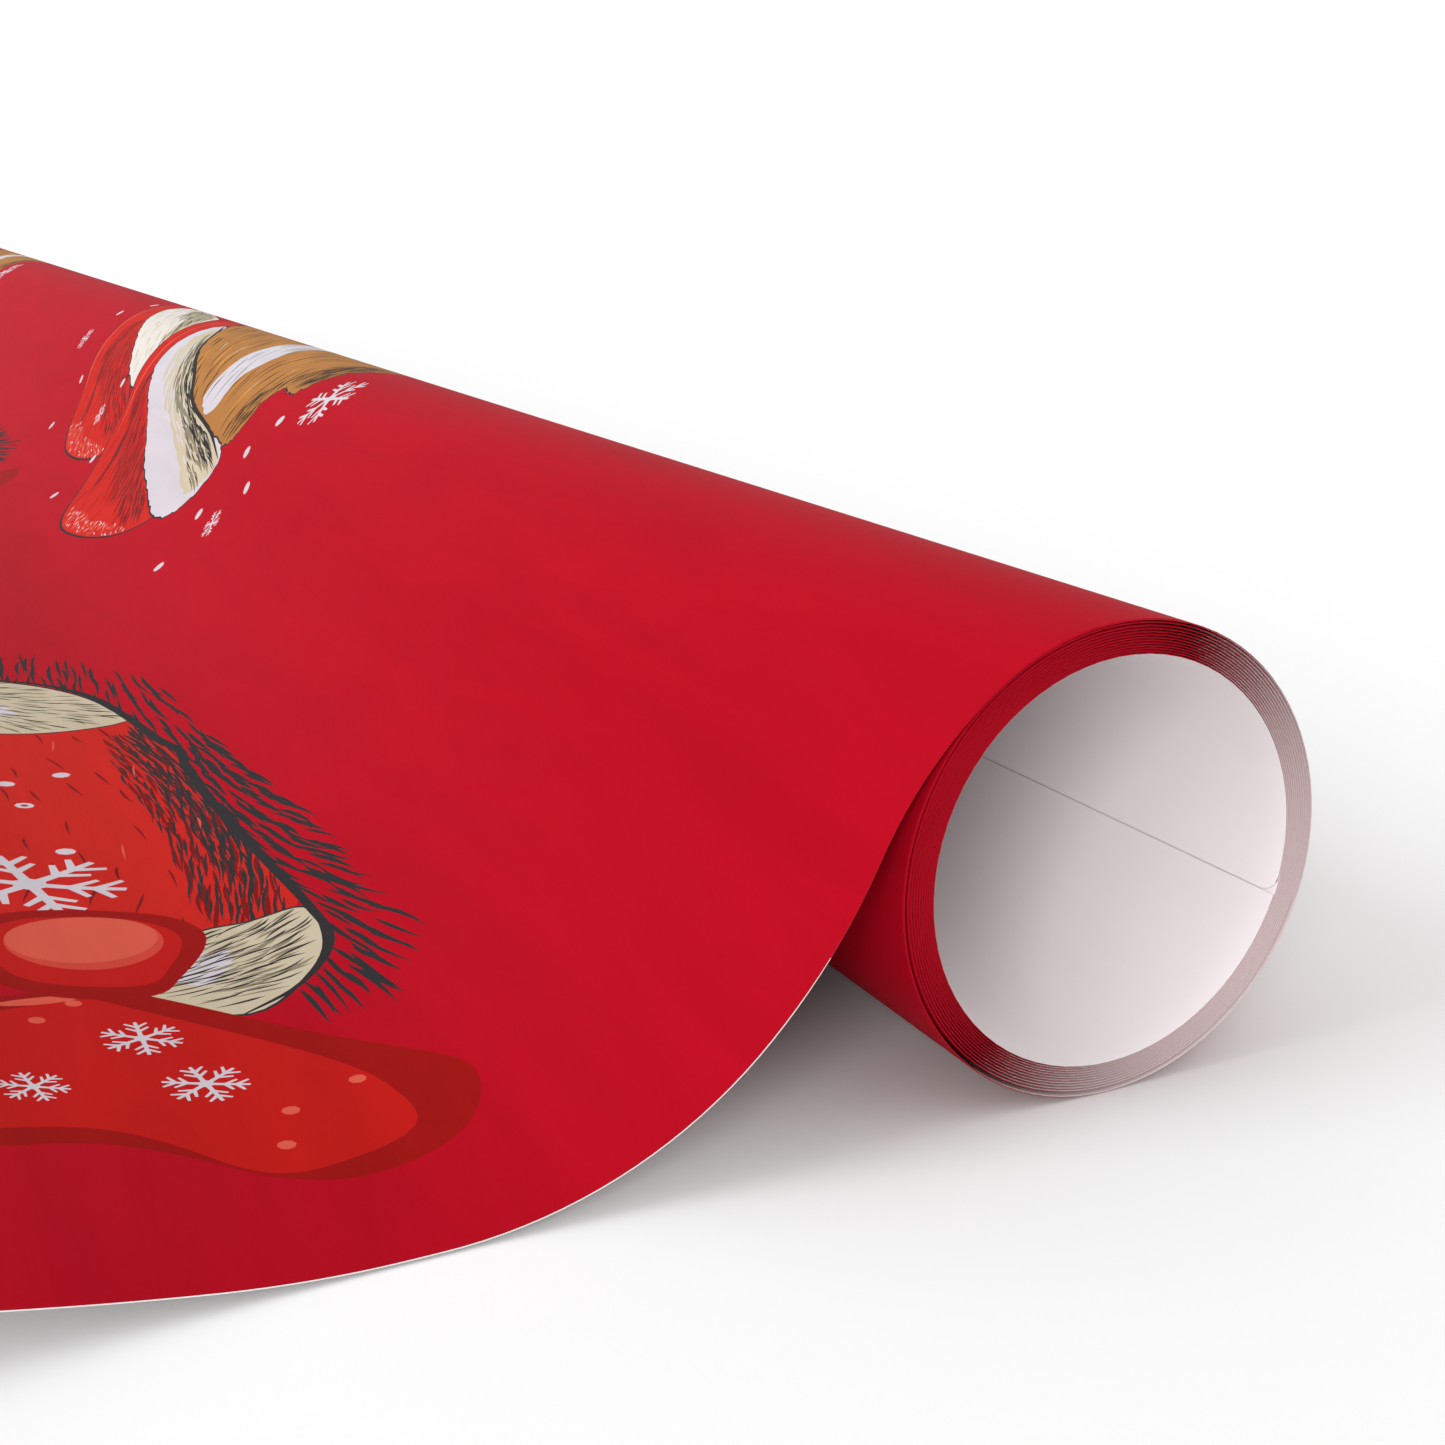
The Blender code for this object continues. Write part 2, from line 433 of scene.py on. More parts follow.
def back_hat(rng):
    """The hat that lies behind."""
    cap = smooth_loop(
        (306, 66), (320, 58), (334, 52), (346, 47), (354, 42), (359, 34), (366, 31), (369, 42),
        (367, 54), (362, 63), (354, 74), (341, 79.5), (328, 80.3), (314, 78.5), (305, 75),
    )
    shade = smooth_loop(
        (357, 44), (340, 51), (324, 57), (311, 61), (309, 68), (316, 71), (330, 67), (344, 62),
        (358, 54),
    )
    tip = smooth_loop(
        (352, 75), (340, 79), (328, 79.6), (314, 77.6), (308, 74.5), (318, 74.6), (331, 75),
        (344, 73),
    )
    fold = smooth_line((357, 45), (355, 54), (350, 63), (346, 71))

    def heading(u, v):
        return float(np.interp(u, (320.0, 355.0), (150.0, 115.0)))

    shapes = cap_of_hat(rng, cap, shade, tip, fold, heading)
    lit_edge = smooth_line((366, 36), (366.5, 46), (364, 57), (358, 67))
    return shapes + [("coral", brush_line(lit_edge, 0.8))] + back_brim(rng)


def near_brim(rng):
    """The fur brim of the hat in front: pale above, and engraved darker and darker towards its lower side."""
    brim = smooth_loop(
        (220.5, 63.5), (234, 61), (256, 58), (270, 53), (284, 48), (294, 41.5), (302, 38),
        (305, 45), (304, 53.5), (296, 59), (287, 63.6), (278.5, 68), (267, 73), (253, 76.4),
        (239, 79), (231, 77), (225, 72), steps=9,
    )
    pale = smooth_loop(
        (298, 42), (302, 46), (294, 52.5), (278, 59), (262, 63.5), (248, 67), (232, 71), (260, 59),
        (280, 53),
    )
    dull = smooth_loop(
        (297, 40.5), (294.4, 45), (289, 49.8), (278, 56), (261, 61), (247.5, 65), (236, 69.5),
        (228, 69.5), (226, 65), (234, 62), (256, 58.6), (270, 53.6), (284, 48),
    )
    dark = smooth_loop(
        (297, 40.5), (289.7, 46), (282, 50.8), (272, 55.4), (256.6, 60), (243, 63.6), (230.7, 66),
        (224, 64), (242, 61), (257, 58.4), (271, 53.2), (284, 48.2),
    )
    flush = smooth_loop(
        (299, 40.5), (299.5, 45.5), (294, 50.5), (283, 56.4), (270, 61.5), (256, 66), (243, 69.6),
        (231, 72.6), (224, 69), (221.5, 64.2), (234, 61.3), (256, 58.3), (270, 53.3), (284, 48.2),
        (294, 41.8),
    )
    dark_edge = smooth_line(
        (220.5, 64.5), (234, 61), (256, 58), (270, 53), (284, 48), (294, 41.5), (302, 38),
    )

    def heading(u, v):
        return float(np.interp(u, (262.0, 297.0), (168.0, 140.0)))

    shapes = fur_brim(rng, brim, "snow")
    shapes += hatching(rng, "cream", pale, 60, heading, 4.0, 11.0, 1.0, within=brim)
    shapes += [("cream", furry(rng, flush, 0.35))]
    shapes += hatching(rng, "snow", pale, 34, heading, 4.0, 10.0, 0.55, within=brim)
    shapes += hatching(rng, "khaki", dull, 110, heading, 4.0, 10.0, 0.7, within=brim)
    shapes += hatching(rng, "black", dark, 95, heading, 4.0, 8.0, 0.4, within=brim)
    shapes += hatching(rng, "black", dull, 46, heading, 4.0, 8.0, 0.3, within=brim)
    shapes += [("black", brush_line(dark_edge, 1.0))]
    return shapes


def near_hat(rng):
    """The hat that lies in front."""
    cap = smooth_loop(
        (239, 78), (253, 75), (267, 72), (279, 67), (288, 63), (297, 58), (304, 52), (305, 44),
        (303, 37), (308, 33.5), (316, 35), (316, 47), (313, 56), (308.5, 63), (309, 70),
        (304.5, 77.5), (297, 85), (288.5, 90), (278.5, 92.2), (267, 91.4), (256, 88.7), (247, 85),
    )
    shade = smooth_loop(
        (303, 53), (299.5, 57), (289, 63), (280, 68), (262, 75), (250, 78.4), (252, 82), (266, 81),
        (280, 77.5), (292, 72), (300, 65), (305, 58),
    )
    tip = smooth_loop(
        (290, 88), (279, 91.2), (266, 90.4), (253.5, 87.2), (246, 83.5), (256, 84.6), (268, 86.6),
        (280, 87),
    )
    fold = smooth_line((303, 56), (300, 64), (297, 72), (294, 79))

    def heading(u, v):
        return float(np.interp(u, (255.0, 300.0), (155.0, 108.0)))

    shapes = cap_of_hat(rng, cap, shade, tip, fold, heading)
    lit_edge = smooth_line((309, 36), (311, 44), (309, 53), (306, 62), (305.5, 71))
    return shapes + [("coral", brush_line(lit_edge, 0.9))] + near_brim(rng)


def woollen_mitten(rng):
    """A brown woollen mitten with a white band, under the hats."""
    mitten = smooth_loop(
        (197, 33), (202, 41), (205, 47), (209, 49), (214, 48.5), (217, 53), (217, 59), (224, 62),
        (245, 61), (270, 54), (290, 44), (305, 33), (309, 18), (303, 4), (294, -8), (270, -10),
        (246, -8), (239, 3), (233, 11), (226, 11), (219, 3), (209, -3), (199, -3), (193, 4),
        (195, 14), (197, 24), steps=7,
    )
    cuff = smooth_loop(
        (244, -5), (256, -8), (270, -9), (284, -8), (297, -5), (301, -14), (299, -22), (270, -26),
        (243, -22), (240, -13), steps=9,
    )
    band = smooth_loop(
        (270, 2), (259, 20), (254.5, 36), (254.2, 48), (252, 56), (244, 58.5), (240, 56.5),
        (241.5, 50), (239.5, 44), (243, 34), (249, 18), (258, 2),
    )
    lower = smooth_loop(
        (198, 33), (202, 41), (206, 48), (214, 49), (217, 54), (218, 59.5), (226, 60.5), (224, 54),
        (220, 48), (213, 42), (207, 33), (202, 29),
    )

    def heading(u, v):
        across = (u - 210.0) / (90.0 - 2.3 * (min(v, 60.0) - 35.0))
        return float(np.interp(across, (0.0, 0.5, 1.0), (66.0, 100.0, 140.0)))

    ragged = furry(rng, mitten, 0.5)
    shapes = [("black", grown(ragged, 0.4)), ("amber", ragged)]
    shapes += hatching(rng, "orange", mitten, 110, heading, 8.0, 10.0, 1.4, within=mitten)
    shapes += hatching(rng, "brown", mitten, 140, heading, 8.0, 9.0, 0.7, within=mitten)
    shapes += hatching(rng, "cream", mitten, 30, heading, 8.0, 7.0, 0.4, within=mitten)
    shapes += hatching(rng, "black", mitten, 80, heading, 8.0, 9.0, 0.5, within=mitten)
    shapes += [("snow", furry(rng, band, 0.3))]
    shapes += hatching(rng, "khaki", band, 26, 112.0, 8.0, 8.0, 0.5, within=band)
    shapes += hatching(rng, "black", band, 30, 112.0, 8.0, 8.0, 0.4, within=band)
    shapes += hatching(rng, "brown", lower, 60, heading, 12.0, 6.0, 0.9, within=mitten)
    shapes += hatching(rng, "black", lower, 70, heading, 14.0, 5.5, 0.6, within=mitten)
    shapes += fur_brim(rng, cuff, "ivory")
    shapes += hatching(rng, "khaki", cuff, 30, 95.0, 14.0, 6.0, 0.5, within=cuff)
    return shapes


def hats_motif():
    """Two fur-trimmed hats lying on a mitten, with snow falling round them."""
    rng = random.Random(11)
    shapes = woollen_mitten(rng) + back_hat(rng) + near_hat(rng)
    shapes += snowflake(189, 47, 13, 12.0) + snowflake(205, 74, 5.5, 20.0)
    shapes += snowflake(390, 56, 6.5, 5.0) + snowflake(330, 69.5, 5.4, 25.0)
    shapes += dots("snow", 2.3, (200, 54), (206, 61), (197, 66), (215, 74), (212, 85), (368, 65))
    shapes += dots("snow", 2.3, (370, 78), (383, 46), (374, 39), (309, 89), (310, 78), (322, 61))
    return shapes


def cream_patch(rng, patch, heading):
    """A cream piece with dark engraved lines and a pale glow in its middle."""
    middle = patch.mean(0)
    glow = middle + (patch - middle) * 0.36 + np.array([0.0, 3.2])
    shapes = [("black", grown(patch, 0.4)), ("cream", patch), ("snow", glow)]
    shapes += hatching(rng, "khaki", patch, 70, heading, 5.0, 6.0, 0.5, sag=0.1, within=patch)
    shapes += hatching(rng, "black", patch, 80, heading, 5.0, 6.0, 0.36, sag=0.12, within=patch)
    return shapes


def outward_heading(u, v):
    """The way a stroke of the cushion's dark fringe runs: to the roll's near end, turned off the contour."""
    lean = float(np.interp(u, (60.0, 80.0, 120.0), (12.0, 14.0, 4.0)))
    return 180.0 + lean + 1.5 * min(max(98.0 - v, -6.0), 4.0)


def quilted_heading(u, v):
    """The way the cushion's engraved strokes run: along its edge, and more across it at its near corner."""
    return float(np.interp(u, (70.0, 135.0), (167.0, 187.0)))


def cushion_cover(rng):
    """The cushion's red cover with its rough dark edge, engraved along its upper side."""
    cushion = smooth_loop(
        (66, 101), (80, 100.9), (100, 101.4), (120, 101.4), (134, 102.3), (143.8, 104), (144, 120),
        (146, 136), (140, 152), (118, 165), (96, 167), (76, 160), (66, 146), (63, 130), (65, 112),
    )
    far_band = smooth_loop(
        (190, 118), (188, 109), (178, 102.5), (164, 98.5), (148, 97), (128, 96.8), (118, 101),
        (132, 102), (144, 103.4), (157, 105.6), (165, 108.8), (171, 113.5), (175, 121),
    )
    near_band = smooth_loop(
        (130, 97), (110, 96), (88, 95.2), (66, 95), (55, 95.6), (48.5, 99), (46.5, 103.5),
        (46, 107), (49, 105), (54, 101.5), (60, 100), (80, 100.4), (100, 101.2), (122, 101),
    )
    shapes = hatching(rng, "black", far_band, 66, outward_heading, 1.5, 16.0, 0.55)
    shapes += hatching(rng, "black", near_band, 116, outward_heading, 2.0, 11.5, 0.55)
    shapes += [("scarlet", cushion)]
    upper = smooth_loop(
        (69, 101), (105, 101.5), (138, 103.2), (137, 108.4), (120, 109), (105, 108), (85, 108.6),
        (72, 108),
    )
    crest = smooth_loop(
        (80, 100.8), (105, 101.4), (140, 103.2), (136, 106), (116, 105.4), (98, 104.8), (84, 104.6),
    )
    shapes += hatching(rng, "deep_red", cushion, 90, quilted_heading, 8.0, 7.0, 0.36)
    shapes += hatching(rng, "deep_red", upper, 110, quilted_heading, 4.0, 9.0, 0.5)
    shapes += hatching(rng, "black", upper, 130, quilted_heading, 4.0, 8.0, 0.32)
    shapes += hatching(rng, "black", crest, 90, quilted_heading, 3.0, 10.0, 0.36)
    shapes += hatching(rng, "coral", cushion, 16, 176.0, 8.0, 6.0, 0.35)
    return shapes


def cushion_trim(rng):
    """The cushion's cream corner pieces, its dark outline and its printed snow."""
    contour = smooth_line(
        (44, 112), (49, 104.8), (56, 100.2), (66, 99.8), (80, 100.4), (100, 101.2), (118, 101.2),
        (125, 100.6), (132, 101.9), (144, 103.4), (157, 105.6), (165, 108.8), (171, 113.5),
        (175, 122), (174, 134),
    )
    left_patch = smooth_loop(
        (44.6, 110.6), (50, 104.4), (56.5, 100.9), (65.6, 100.4), (65.8, 106), (64.8, 112),
        (57, 121), (50, 118),
    )
    right_patch = smooth_loop(
        (144, 104), (150, 104.9), (157.5, 106.6), (164, 109.5), (169.5, 113.5), (173, 119),
        (173.5, 128), (167, 137), (155, 138), (147, 131), (143.3, 118),
    )
    shapes = cream_patch(rng, left_patch, lambda u, v: 108.0 + 1.6 * (u - 55.0))
    shapes += cream_patch(rng, right_patch, lambda u, v: 62.0 + 1.6 * (u - 158.0))
    shapes += [("black", brush_line(contour, 1.2))]
    shapes += snowflake(83, 124, 19, 12.0)
    shapes += dots("snow", 2.2, (93.5, 119), (111, 121), (123, 115.3), (120, 122))
    shapes += dots("scarlet", 0.9, (111, 121))
    return shapes


def ribbon_bow():
    """A ribbon bow: a streamer with its own snow, a loop and the knot."""
    streamer = smooth_loop(
        (12.5, 108.7), (14.4, 115), (20, 121.3), (22.9, 127), (23.1, 134), (21.5, 144), (27, 155),
        (41, 163), (58, 166), (72, 162), (70, 152), (58, 144), (52.5, 135), (53, 128),
        (54.4, 122.5), (50, 116.5), (41, 108.7), (31, 101), (23.1, 97.3), (15.5, 100.5),
    )
    ribbon = smooth_loop(
        (15, 112), (16.3, 116.8), (22.4, 122), (25.6, 127), (26.2, 134), (25.2, 144), (30, 152),
        (42, 159), (57, 162), (65.5, 159), (64, 154), (54, 148), (48.6, 138), (49.6, 130),
        (51.8, 124), (48, 119), (40.5, 112.2), (32, 106.3), (25, 103.7), (18, 104),
    )
    shapes = [("maroon", streamer), ("ribbon_red", ribbon)]
    shapes += [("coral", brush_line(smooth_line((50.6, 131), (51.4, 127), (52.2, 123.5)), 1.6))]
    shapes += snowflake(32, 117, 7, 10.0) + snowflake(42.2, 120.2, 7, 0.0)
    shapes += snowflake(33.5, 130, 5.6, 15.0) + snowflake(36, 145, 7, 5.0)
    shapes += dots("coral", 1.5, (28, 105.7), (19.5, 113.6), (25, 111.9), (50.6, 124.5))
    shapes += dots("coral", 1.5, (47, 128), (40, 135), (52, 155))

    loop_outer = smooth_loop((72, 133), (86, 127), (106, 135), (116, 147), (110, 159), (94, 159), (80, 149))
    loop_inner = smooth_loop(
        (78, 136), (88, 132), (103, 139), (111, 148), (106, 155.5), (94, 155), (84, 147),
    )
    shapes += [("maroon", loop_outer), ("ribbon_red", loop_inner)]
    knot = smooth_loop(
        (51.3, 117.5), (55, 114.4), (61.3, 111), (66.3, 110.4), (71.3, 113.1), (74.4, 118.8),
        (75, 124.4), (73.3, 129), (69, 132), (62.5, 132.5), (55.5, 130), (51.9, 125),
    )
    front = smooth_loop(
        (54, 118), (58, 114.8), (63, 112.8), (67, 113), (71, 116), (72.8, 121), (72.5, 126),
        (69, 129.6), (62, 130), (56, 127),
    )
    shapes += [("maroon", knot), ("ribbon_red", front)]
    shapes += [("deep_coral", oval(65.6, 121.3, 7.1, 7.2, steps=36))]
    shapes += [("coral", oval(66.5, 121.4, 6.2, 7.0, tilt=8.0, steps=36))]
    return shapes


def bow_motif():
    """A red cushion with cream corner pieces, tied with a ribbon bow."""
    rng = random.Random(23)
    return cushion_cover(rng) + cushion_trim(rng) + ribbon_bow()


def print_shapes():
    """Every patch of ink on the part of the sheet that shows."""
    hats, bow = hats_motif(), bow_motif()
    shapes = hats + bow
    shapes += moved(hats, 411.0, 0.0)
    shapes += moved(bow, 333.0, -7.0)
    shapes += moved(bow, 560.0, 2.0)
    shapes += moved(hats, -90.0, -104.0)
    shapes += moved(hats, 320.0, -104.0)
    shapes += moved(bow, 300.0, -185.0)
    rng = random.Random(5)
    for _ in range(12):
        u, v = rng.uniform(70.0, 750.0), rng.uniform(-118.0, -6.0)
        shapes += snowflake(u, v, rng.choice((5.5, 6.5, 9.0)), rng.uniform(0.0, 60.0))
    for u, v in ((232, 118), (255, 150), (300, 128), (20, 150), (212, 160)):
        shapes += snowflake(u, v, 8.0, u % 60.0)
    return shapes


# ------------------------------------------------------------------ materials

# Linear colours. The first is the sheet's own ground, which lies under all the others.
INKS = {
    "ground": (0.3173, 0.0017, 0.0096),
    "scarlet": (0.415, 0.0125, 0.0085),
    "ribbon_red": (0.365, 0.007, 0.0055),
    "maroon": (0.23, 0.0042, 0.0036),
    "deep_red": (0.1508, 0.0058, 0.0058),
    "coral": (0.49, 0.075, 0.048),
    "deep_coral": (0.44, 0.045, 0.03),
    "snow": (0.455, 0.43, 0.468),
    "ivory": (0.53, 0.5, 0.465),
    "cream": (0.42, 0.37, 0.268),
    "khaki": (0.1914, 0.1682, 0.1102),
    "amber": (0.31, 0.135, 0.037),
    "orange": (0.4, 0.165, 0.033),
    "brown": (0.0812, 0.0348, 0.0128),
    "black": (0.022, 0.0209, 0.0232),
}


def streaked_colour(nodes, links, sheet_place, colour, tint, streak_scale):
    """A colour with faint slanting streaks, lighter and darker by tint."""
    slant = nodes.new("ShaderNodeMapping")
    slant.inputs["Rotation"].default_value = (0.0, 0.0, math.radians(24.0))
    slant.inputs["Scale"].default_value = (0.8 * streak_scale, 5.0 * streak_scale, 1.0)
    links.new(sheet_place, slant.inputs["Vector"])
    streaks = nodes.new("ShaderNodeTexNoise")
    streaks.inputs["Scale"].default_value = 3.0
    streaks.inputs["Detail"].default_value = 5.0
    streaks.inputs["Roughness"].default_value = 0.62
    streaks.inputs["Distortion"].default_value = 0.7
    links.new(slant.outputs["Vector"], streaks.inputs["Vector"])
    shade = nodes.new("ShaderNodeMapRange")
    shade.inputs["From Min"].default_value = 0.3
    shade.inputs["From Max"].default_value = 0.7
    shade.inputs["To Min"].default_value = 1.0 - tint
    shade.inputs["To Max"].default_value = 1.0 + tint
    links.new(streaks.outputs["Fac"], shade.inputs["Value"])
    colouring = nodes.new("ShaderNodeVectorMath")
    colouring.operation = "SCALE"
    colouring.inputs[0].default_value = colour
    links.new(shade.outputs["Result"], colouring.inputs["Scale"])
    return colouring.outputs["Vector"]


def fibrous_surface(nodes, links, sheet_place, roughness):
    """The roughness and the relief of fine paper fibres."""
    fibres = nodes.new("ShaderNodeTexNoise")
    fibres.inputs["Scale"].default_value = 260.0
    fibres.inputs["Detail"].default_value = 3.0
    links.new(sheet_place, fibres.inputs["Vector"])
    gloss = nodes.new("ShaderNodeMapRange")
    gloss.inputs["To Min"].default_value = roughness - 0.06
    gloss.inputs["To Max"].default_value = roughness + 0.06
    links.new(fibres.outputs["Fac"], gloss.inputs["Value"])
    relief = nodes.new("ShaderNodeBump")
    relief.inputs["Strength"].default_value = 0.12
    relief.inputs["Distance"].default_value = 0.02 * MM
    links.new(fibres.outputs["Fac"], relief.inputs["Height"])
    return gloss.outputs["Result"], relief.outputs["Normal"]


def paper_material(name, colour, roughness, specular, tint, streak_scale=1.0):
    """Satin paper: faint brush-like streaks in the colour, uneven gloss and a fine fibre relief."""
    material = bpy.data.materials.new(name)
    material.use_nodes = True
    nodes, links = material.node_tree.nodes, material.node_tree.links
    shader = nodes["Principled BSDF"]
    shader.inputs["Specular IOR Level"].default_value = specular
    uv_map = nodes.new("ShaderNodeUVMap")
    uv_map.uv_map = "Sheet"
    sheet_place = uv_map.outputs["UV"]
    colouring = streaked_colour(nodes, links, sheet_place, colour, tint, streak_scale)
    gloss, relief = fibrous_surface(nodes, links, sheet_place, roughness)
    links.new(colouring, shader.inputs["Base Color"])
    links.new(gloss, shader.inputs["Roughness"])
    links.new(relief, shader.inputs["Normal"])
    return material


ink_names = list(INKS)
ink_materials = [paper_material(f"ink_{name}", colour, 0.55, 0.012, 0.06) for name, colour in INKS.items()]
back_paper = paper_material("paper_back", (0.83, 0.775, 0.78), 0.62, 0.1, 0.015, streak_scale=0.5)
cut_edge = paper_material("paper_edge", (0.70, 0.64, 0.64), 0.7, 0.1, 0.03)
# Dark red for the cut edges at the roll's ends: painted shade, standing in for the shadow in the narrow gaps
# between the turns.
shade_dark_edge = paper_material("paper_edge_painted_shade", (0.20, 0.03, 0.04), 0.7, 0.1, 0.05)


# ------------------------------------------------------------------ meshes of paper


def outline_of(v_from, v_to, corner):
    """The flat outline of a piece, with its near corner at v_from rounded if corner isn't 0."""
    start = np.array([(0.0, v_from)])
    if corner:
        turns = np.radians(np.linspace(90.0, 0.0, 9))
        start = np.column_stack([corner * (1.0 - np.sin(turns)), v_from + corner * (1.0 - np.cos(turns))])
    return np.vstack([start, [(WIDTH, v_from), (WIDTH, v_to), (0.0, v_to)]])


def on_sides(points, outline, reach):
    """The points, with those within reach of the sides of the outline's box moved onto them."""
    for side in (outline.min(0), outline.max(0)):
        points = np.where(np.abs(points - side) < reach, side, points)
    return points


def cut_flat(outline, chains):
    """The flat piece as points and triangles, cut along every chain, which is (points, closed)."""
    points, edges = [], []
    for chain, closed in chains:
        first, count = len(points), len(chain)
        points += [Vector(point) for point in chain]
        edges += [(first + i, first + (i + 1) % count) for i in range(count if closed else count - 1)]
    points, _, triangles, *_ = delaunay_2d_cdt(points, edges, [], 0, MERGE_DISTANCE, False)
    points, triangles = np.array([tuple(point) for point in points]), np.array(triangles)
    points = on_sides(points, outline, 2.0 * MERGE_DISTANCE)
    a, b, c = (points[triangles[:, i]] for i in range(3))
    areas = (b[:, 0] - a[:, 0]) * (c[:, 1] - a[:, 1]) - (b[:, 1] - a[:, 1]) * (c[:, 0] - a[:, 0])
    kept = inside(outline, points[triangles].mean(1)) & (areas != 0.0)
    triangles = np.where(areas[:, None] < 0.0, triangles[:, ::-1], triangles)[kept]
    used, triangles = np.unique(triangles, return_inverse=True)
    return points[used], triangles.reshape(-1, 3)


def rim_of(triangles):
    """The directed edges that only one triangle uses."""
    edges = np.concatenate([triangles[:, [0, 1]], triangles[:, [1, 2]], triangles[:, [2, 0]]])
    _, first, uses = np.unique(np.sort(edges, axis=1), axis=0, return_index=True, return_counts=True)
    return edges[first[uses == 1]]


def nearest_points(points, places, wanted):
    """{i: the number of the point nearest to places[i]} for each wanted i."""
    tree = KDTree(len(points))
    for number, point in enumerate(points):
        tree.insert((*point, 0.0), number)
    tree.balance()
    return {i: tree.find((*places[i], 0.0))[1] for i in wanted}


def ink_of(middles, shapes):
    """Which ink lies on top at each triangle's middle, as its number in the list of inks."""
    order = np.argsort(middles[:, 0])
    across = middles[order, 0]
    ink = np.zeros(len(middles), int)
    for name, shape in shapes:
        (left, low), (right, high) = shape.min(0), shape.max(0)
        near = order[np.searchsorted(across, left) : np.searchsorted(across, right)]
        near = near[(middles[near, 1] > low) & (middles[near, 1] < high)]
        ink[near[inside(shape, middles[near])]] = ink_names.index(name)
    return ink


def from_end(flat):
    """How far flat points lie from the nearer of the roll's two ends."""
    return np.minimum(flat[:, 0], WIDTH - flat[:, 0])


def thinned_all_round(v):
    """How far a turn's cut ends are thinned to a blade: fully, at every distance v."""
    return np.ones_like(v)


def thinned_on_the_roll(v):
    """The same for the leaf: fully where it lies on the roll, and not at all where it hangs free."""
    return 1.0 - smooth_step((v - TAPER_FADES_FROM) / TAPER_FADES_OVER)


def square_cut(v):
    """The same for paper that keeps its whole thickness."""
    return np.zeros_like(v)


def front_offset(flat, thinned):
    """How far the paper's front lies from its middle: a thinned end slopes down to the back."""
    half = PAPER_THICKNESS / 2.0
    blade = np.interp(from_end(flat), [0.0, EDGE_TAPER], [EDGE_THICKNESS - half, half])
    return half + thinned(flat[:, 1]) * (blade - half)


def surface_points(flat, offset, place):
    """Points of the paper at those offsets from its middle surface, and the outward directions there."""
    on_sheet, outward = place(flat[:, 1])
    return np.column_stack([HALF_WIDTH - flat[:, 0], on_sheet + offset[:, None] * outward]), outward


def front_directions(flat, triangles, outward, thinned):
    """Smooth directions at the front's corners, tipped towards the cut ends where the paper is thinned."""
    directions = np.column_stack([np.zeros(len(flat)), outward])[triangles]
    tip = math.atan2(PAPER_THICKNESS - EDGE_THICKNESS, EDGE_TAPER) * thinned(flat[:, 1])[triangles]
    middle = flat[triangles].mean(1)[:, 0]
    near, far = middle < EDGE_TAPER, middle > WIDTH - EDGE_TAPER
    directions[near | far] *= np.cos(tip[near | far])[:, :, None]
    directions[near, :, 0] = np.sin(tip[near])
    directions[far, :, 0] = -np.sin(tip[far])
    return directions


def shapes_between(shapes, v_from, v_to):
    """The shapes that reach a stretch of the sheet."""
    found = []
    for ink, shape in shapes:
        (left, low), (right, high) = shape.min(0), shape.max(0)
        if left < WIDTH and right > 0.0 and low < v_to and high > v_from:
            found.append((ink, shape))
    return found


def straight_cuts(v_from, v_to, thinned):
    """The chains along which a flat piece bends, and those where its ends begin to be thinned."""
    rows = max(2, math.ceil((v_to - v_from) / ROW_PITCH))
    lines = [((0.0, v), (WIDTH, v)) for v in np.linspace(v_from, v_to, rows + 1)[1:-1]]
    if thinned is not square_cut:
        lines += [((u, v_from), (u, v_to)) for u in (EDGE_TAPER, WIDTH - EDGE_TAPER)]
    return [(line, False) for line in lines]


def finish_mesh(mesh, slots, flat, normals):
    """Gives a mesh its materials, its UV map, which is the flat sheet, and its shading directions."""
    for material in ink_materials + [back_paper, cut_edge, shade_dark_edge]:
        mesh.materials.append(material)
    mesh.polygons.foreach_set("material_index", slots.astype(np.int32))
    mesh.polygons.foreach_set("use_smooth", np.ones(len(slots), bool))
    corners = np.empty(len(mesh.loops), np.int32)
    mesh.loops.foreach_get("vertex_index", corners)
    sheet_uv = mesh.uv_layers.new(name="Sheet")
    sheet_uv.data.foreach_set("uv", (flat[corners] / UV_UNIT).astype(np.float32).ravel())
    mesh.normals_split_custom_set(normals.tolist())


